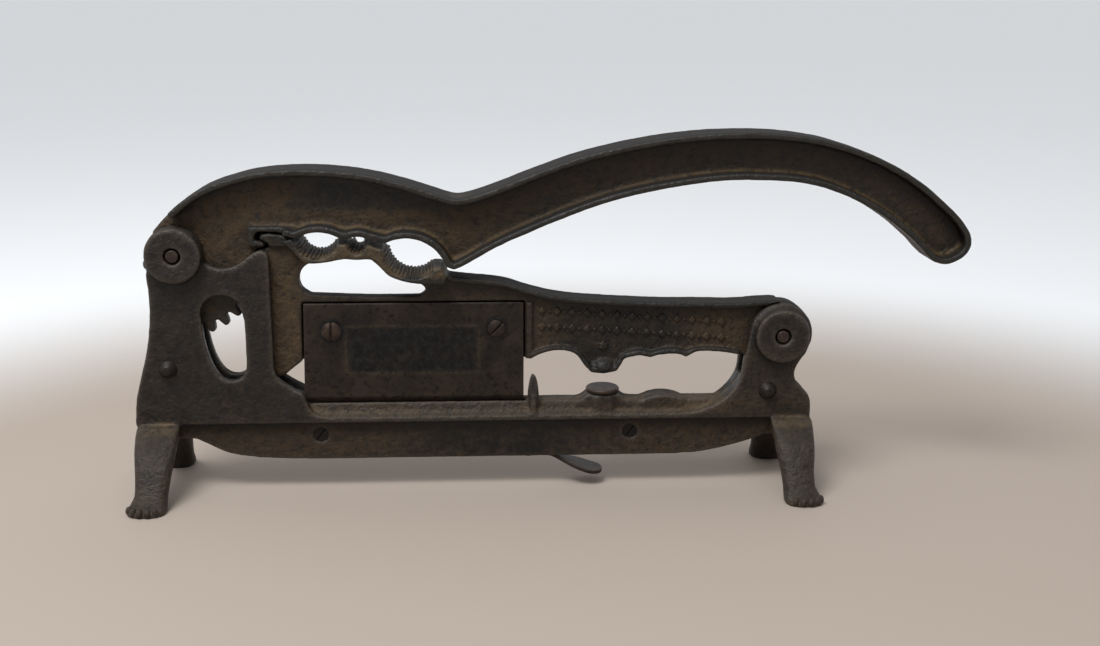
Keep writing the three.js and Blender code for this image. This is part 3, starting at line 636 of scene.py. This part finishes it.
# ---- the blade carrier --------------------------------------------------------------------
WEB_FACE = -3.5                        # Y of the carrier's front face, mm
RELIEF_ROWS = [(-10.2, 94.8), (-10.2, 86.4)]   # first X and Z of each row
RELIEF_PITCH = 3.9
RELIEF_COUNT = 25
RELIEF_FALL = 0.072                    # the rows follow the falling top flange
RELIEF_HEIGHT = 1.0
LOZENGE_HALF = (2.5, 2.9)              # half sizes of a lozenge, mm
ROSETTE = (21.7, 75.6)                 # X and Z of the one flower below the rows
# The hollows of the lower jaw in the part's drawing: X, Z, radius, and first and last angle.
LOWER_CUPS = [(-123, 134.45, 10.8, 204, 334), (-103.2, 130.85, 4.6, 190, 350),
              (-75.5, 128.45, 15, 190, 314)]
CUP_TAPER = 1.7                        # how much smaller a cup's radius is at its back, mm
JAW_HALF = 11.2                        # the ridges end at this distance from the middle, mm
RIDGE_PITCH = 2.1
RIDGE_R = 0.85
RIDGE_SUNK = 0.05
# Points along the scalloped underside, in the part's drawing.
SCALLOP_LIP = [(9, 70.6), (13.2, 65.5), (15.8, 62.6), (22, 61.9), (28.2, 63), (30.6, 66.8), (34.5, 70.4),
               (40.5, 71.6), (46.3, 70.4), (50, 71.6), (56, 72.2), (61, 72), (65, 70.4), (69, 72.1)]
LIP_Y, LIP_LIFT, LIP_R = 5.0, 0.4, 1.35        # the rolled lip's distance out, rise and radius, mm


def paint_carrier(points, normals):
    """A brown left web, black grease over the relief's middle and rust at both its ends, and painted shade
    on the faces turned up, but not in the jaws' cups.
    """
    x, y, z = points[:, 0] / MM, np.abs(points[:, 1]) / MM, points[:, 2] / MM
    left = 1 - step(-131, -126, x)
    right = step(-16, -8, x)
    web = 1 - step(4.4, 6.5, y)
    jaws = step(113, 115, z) * band_mask(x, -128, -52, 3)
    finger = left * step(127, 131, z)
    middle_right = band_mask(x, 2, 66, 12)
    groove = near_places(points, PIVOTS, 18) * 0.4
    return {
        "rust": np.clip(left * 0.95 * (1 - finger * 0.7) + right * web * (0.7 - 0.45 * middle_right)
                        + jaws * 0.75 + band_mask(z, 97, 106, 2) * (1 - right) * 0.5, 0, 1),
        "dust": np.clip(left * 0.22 + jaws * 0.55 + right * web * 0.1, 0, 1),
        # painted shade on the faces turned up, left off the cups of the jaws
        "top": facing_up(normals) * (1 - jaws),
        "grease": np.clip(right * middle_right * 0.85 + right * (1 - web) * 0.5 + finger * 0.7
                          + (1 - web) * (1 - jaws) * step(80, 90, z) * 0.5 + groove, 0, 1),
    }


def lozenge(half_x, half_z):
    """A lozenge outline with sides that curve in a little."""
    side_x, side_z = half_x * 0.45, half_z * 0.5
    return [(half_x, 0), (side_x, side_z), (0, half_z), (-side_x, side_z), (-half_x, 0),
            (-side_x, -side_z), (0, -half_z), (side_x, -side_z)]


def petals(radius, count, depth):
    """A rounded flower outline; a depth of 0 makes it a circle."""
    outline = []
    for k in range(24):
        a = 2 * math.pi * k / 24
        reach = radius * (1 - depth * (1 + math.cos(count * a)) / 2)
        outline.append((reach * math.cos(a), reach * math.sin(a)))
    return outline


def relief(bm):
    """A plain running border of lozenges and beads, cast in two rows, and one rosette."""
    bead = petals(1.05, 1, 0)
    for x0, z0 in RELIEF_ROWS:
        for k in range(RELIEF_COUNT):
            x = x0 + k * RELIEF_PITCH
            z = z0 - k * RELIEF_PITCH * RELIEF_FALL
            outline = bead if k % 2 else lozenge(*LOZENGE_HALF)
            add_boss(bm, at(x, z), outline, WEB_FACE, RELIEF_HEIGHT)
    add_boss(bm, at(*ROSETTE), petals(3.3, 6, 0.35), WEB_FACE, RELIEF_HEIGHT)


def jaw_ridges(bm):
    """Fine ridges across the cups, which keep a cork from turning."""
    for x, z, r, first, last in LOWER_CUPS:
        turn = math.degrees(RIDGE_PITCH / r)
        for k in range(int((last - first) / turn) + 1):
            a = math.radians(first + k * turn)
            size = RIDGE_R * (1 + 0.14 * math.sin(2.3 * k))
            path = []
            for y in (-JAW_HALF, -JAW_HALF + 0.7, 0, JAW_HALF - 0.7, JAW_HALF):
                reach = r + RIDGE_SUNK - CUP_TAPER * (y + JAW_HALF) / (2 * JAW_HALF)
                px, pz = at(x + reach * math.cos(a), z + reach * math.sin(a))
                path.append(Vector((px, y * MM, pz)))
            add_rod(bm, path, size * MM, 6)


def carrier_details(bm):
    jaw_ridges(bm)
    relief(bm)


def taper_cups(points):
    """The lower cups narrow a little towards the back."""
    moved = points.copy()
    for x, z, r, _, _ in LOWER_CUPS:
        cx, cz = at(x, z)
        dx, dz = points[:, 0] - cx, points[:, 2] - cz
        away = np.hypot(dx, dz) / MM
        wall = (np.abs(away - r) < 1.5) & (dz < -0.15 * r * MM) & (points[:, 1] > 0)
        for axis, part in ((0, dx), (2, dz)):
            moved[:, axis] -= np.where(wall, part / np.maximum(away, 1) * CUP_TAPER, 0)
    return moved


def carrier_lips(bm):
    """Rolled lips along the scalloped underside."""
    for side in (-1, 1):
        line = [at(x, z) for x, z in SCALLOP_LIP]
        path = [Vector((x, side * LIP_Y * MM, z + LIP_LIFT * MM)) for x, z in line]
        add_rod(bm, path, LIP_R * MM, 10)


def carrier_holes():
    """The pin, the screws, the teeth and the blade's pocket stay unfilleted."""
    pins = [(PIVOTS[1], PIVOT_CLEAR)] + [(middle(b), SCREW_CLEAR) for b in BLADE_SCREWS]
    low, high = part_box("blade")
    rim = [(x, z) for x in np.linspace(low.x, high.x, 30) for z in (low.z, high.z)]
    rim += [(x, z) for x in (low.x, high.x) for z in np.linspace(low.z, high.z, 15)]
    return pins + [(p, EDGE_CLEAR) for p in rim] + TOOTH_ZONE


refine("blade_carrier", "carrier", FINE_CASTING, LEVER_IRON, extras=carrier_lips,
       details=carrier_details, paint=paint_carrier, reshape=taper_cups, holes=carrier_holes())


# ---- the blade ----------------------------------------------------------------------------
def paint_blade(points, normals):
    """A dark oblong stain with a pale border, rust towards the cutting edge, and a dark ring round each
    screw head as painted shade.
    """
    low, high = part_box("blade")
    u = (points[:, 0] - low.x) / (high.x - low.x)
    v = (points[:, 2] - low.z) / (high.z - low.z)
    stain = band_mask(u, 0.21, 0.78, 0.02) * band_mask(v, 0.34, 0.76, 0.03)
    ring = band_mask(u, 0.19, 0.8, 0.008) * band_mask(v, 0.31, 0.79, 0.014)
    ring *= 1 - band_mask(u, 0.2, 0.79, 0.008) * band_mask(v, 0.33, 0.77, 0.014)
    # painted shade: a dark ring round each screw head, as if in a recess
    screw_ring_shade = near_places(points, map(middle, BLADE_SCREWS), 6.6, 0.5)
    return {
        "grease": np.clip(stain * 0.85 + 0.1 + screw_ring_shade, 0, 1),
        "dust": np.clip(ring, 0, 1) * 0.7,
        "rust": np.clip((1 - step(0.12, 0.4, v)) * 0.75 + (1 - step(0.0, 0.2, u)) * 0.5
                        + step(0.8, 0.95, v) * 0.5, 0, 1),
    }


refine("blade", "carrier", STEEL_PLATE, BLADE_STEEL, paint=paint_blade)

# ---- fasteners and small steel pieces -----------------------------------------------------
ON_CARRIER = ("blade_screw_left", "blade_screw_right", "blade_nut_left", "blade_nut_right")
ON_FRAME = ("lever_pivot_pin", "carrier_pivot_pin", "left_tie_rivet", "right_tie_rivet", "left_spacer",
            "anvil_button", "keel_screw_left", "keel_screw_right", "keel_nut_left", "keel_nut_right",
            "tongue", "tongue_rivet")
# how greasy a small piece is
DULL = {"left_tie_rivet": 0.75, "right_tie_rivet": 0.75, "keel_screw_left": 0.9, "keel_screw_right": 1.0,
        "anvil_button": 0.1, "blade_screw_right": 0.45, "tongue": 0.35}
# how far a head bulges out, in mm, and how much wider it is worn than the CAD's
DOME = {"blade_screw_left": (1.3, 1.16), "blade_screw_right": (0.5, 1.1), "left_tie_rivet": (0.9, 1.08),
        "right_tie_rivet": (0.9, 1.08)}


def bulge(points, height, wider):
    """Pushes a head out into a dome, deepest at its middle, and widens it a little."""
    x = (points[:, 0].min() + points[:, 0].max()) / 2
    z = (points[:, 2].min() + points[:, 2].max()) / 2
    middle_x, middle_z = points[:, 0] - x, points[:, 2] - z
    r = np.hypot(middle_x, middle_z)
    head = points[:, 1] < points[:, 1].min() + 1.2 * MM
    moved = points.copy()
    moved[:, 1] -= np.where(head, height * np.clip(1 - (r / r.max()) ** 2, 0, 1) + 0.3 * height, 0) * MM
    moved[:, 0] += np.where(head, middle_x * (wider - 1), 0)
    moved[:, 2] += np.where(head, middle_z * (wider - 1), 0)
    return moved


def paint_fastener(name):
    def paint(points, normals):
        return {"grease": np.full(len(points), DULL.get(name, 0.0))}
    return paint


for body, names in (("carrier", ON_CARRIER), ("frame", ON_FRAME)):
    for name in names:
        shape = (lambda p, d=DOME[name]: bulge(p, *d)) if name in DOME else None
        refine(name, body, FASTENER, FASTENER_STEEL, paint=paint_fastener(name),
               reshape=shape)


# ---- floor, light and camera --------------------------------------------------------------
FLOOR_MIDDLE = (0.0, -0.15, 0.0)       # middle of the warm patch, in metres
WARM_REACH, PALE_REACH = 0.38, 0.72    # distances in metres where it begins and ends paling
FLOOR_HALF = 60.0                      # half its width in metres, so its edge is far away


def make_floor():
    """A plain pale floor: warm around the object and paler and cooler far away."""
    bm = bmesh.new()
    bmesh.ops.create_grid(bm, x_segments=8, y_segments=8, size=FLOOR_HALF)
    mesh = bpy.data.meshes.new("floor")
    bm.to_mesh(mesh)
    bm.free()
    floor = bpy.data.objects.new("floor", mesh)
    bpy.context.scene.collection.objects.link(floor)
    n = Nodes("pale_floor")
    length = n.new("ShaderNodeVectorMath", operation="DISTANCE")
    n.link(n.place, length.inputs[0])
    length.inputs[1].default_value = FLOOR_MIDDLE
    far = n.ramp(length.outputs["Value"], WARM_REACH, PALE_REACH)
    base = n.mix(far, colour(156, 145, 135), colour(228, 231, 233))
    rough = n.blend(n.noise(30), 0.65, 0.8)
    n.finish(base, rough, n.bump(n.noise(3), 0.05, 0.2), specular=0.2)
    mesh.materials.append(n.material)


def add_area(name, place, target, size, power):
    light = bpy.data.lights.new(name, "AREA")
    light.shape = "RECTANGLE"
    light.size, light.size_y = size
    light.energy = power
    obj = bpy.data.objects.new(name, light)
    bpy.context.scene.collection.objects.link(obj)
    obj.location = place
    obj.rotation_mode = "QUATERNION"
    obj.rotation_quaternion = (Vector(target) - Vector(place)).to_track_quat("-Z", "Y")


DIM_FRONT, BRIGHT_BACK = 0.2, 0.8
SKY_AXIS = Vector((-0.2, -0.32, 0.9)).normalized()     # towards the big overhead softbox
SKY_GAIN = 1.2
KEY_PLACE, KEY_TARGET = (-0.4, -0.45, 1.1), (0, 0, 0.1)
KEY_SIZE, KEY_POWER = (0.55, 0.4), 13


def make_light():
    """A soft studio: a large softbox above, a bright room behind and a dim one in front.

    One smaller area lamp stands above the object, to the left and in front.
    """
    world = bpy.data.worlds.new("studio")
    world.use_nodes = True
    tree = world.node_tree
    background = tree.nodes["Background"]
    direction = tree.nodes.new("ShaderNodeTexCoord").outputs["Generated"]
    split = tree.nodes.new("ShaderNodeSeparateXYZ")
    tree.links.new(direction, split.inputs[0])
    room = shade(tree, split.outputs["Y"], -0.7, 0.6, DIM_FRONT, BRIGHT_BACK)
    dot = tree.nodes.new("ShaderNodeVectorMath")
    dot.operation = "DOT_PRODUCT"
    tree.links.new(direction, dot.inputs[0])
    dot.inputs[1].default_value = SKY_AXIS
    box = shade(tree, dot.outputs["Value"], 0.72, 0.9, 0.0, SKY_GAIN)
    total = tree.nodes.new("ShaderNodeMath")
    tree.links.new(room, total.inputs[0])
    tree.links.new(box, total.inputs[1])
    tree.links.new(total.outputs[0], background.inputs["Strength"])
    background.inputs["Color"].default_value = colour(246, 246, 248)
    bpy.context.scene.world = world
    add_area("key", KEY_PLACE, KEY_TARGET, KEY_SIZE, KEY_POWER)


def shade(tree, value, low, high, dark, bright):
    node = tree.nodes.new("ShaderNodeMapRange")
    node.interpolation_type = "SMOOTHSTEP"
    tree.links.new(value, node.inputs["Value"])
    for name, number in (("From Min", low), ("From Max", high), ("To Min", dark), ("To Max", bright)):
        node.inputs[name].default_value = number
    return node.outputs["Result"]


def make_camera():
    cy, sy = math.cos(CAMERA_YAW), math.sin(CAMERA_YAW)
    cp, sp = math.cos(CAMERA_PITCH), math.sin(CAMERA_PITCH)
    forward = Vector((sy * cp, cy * cp, -sp))
    level = Vector((cy, -sy, 0))
    above = level.cross(forward)
    cr, sr = math.cos(CAMERA_ROLL), math.sin(CAMERA_ROLL)
    right = level * cr + above * sr
    up = above * cr - level * sr
    data = bpy.data.cameras.new("camera")
    data.lens = CAMERA_LENS_MM
    data.sensor_width = 36
    data.clip_start, data.clip_end = 0.01, 50
    camera = bpy.data.objects.new("camera", data)
    bpy.context.scene.collection.objects.link(camera)
    turn = Matrix((right, up, -forward)).transposed().to_4x4()
    camera.matrix_world = Matrix.Translation(CAMERA_PLACE) @ turn
    bpy.context.scene.camera = camera


make_floor()
make_light()
make_camera()
bpy.context.scene.view_settings.view_transform = "Standard"
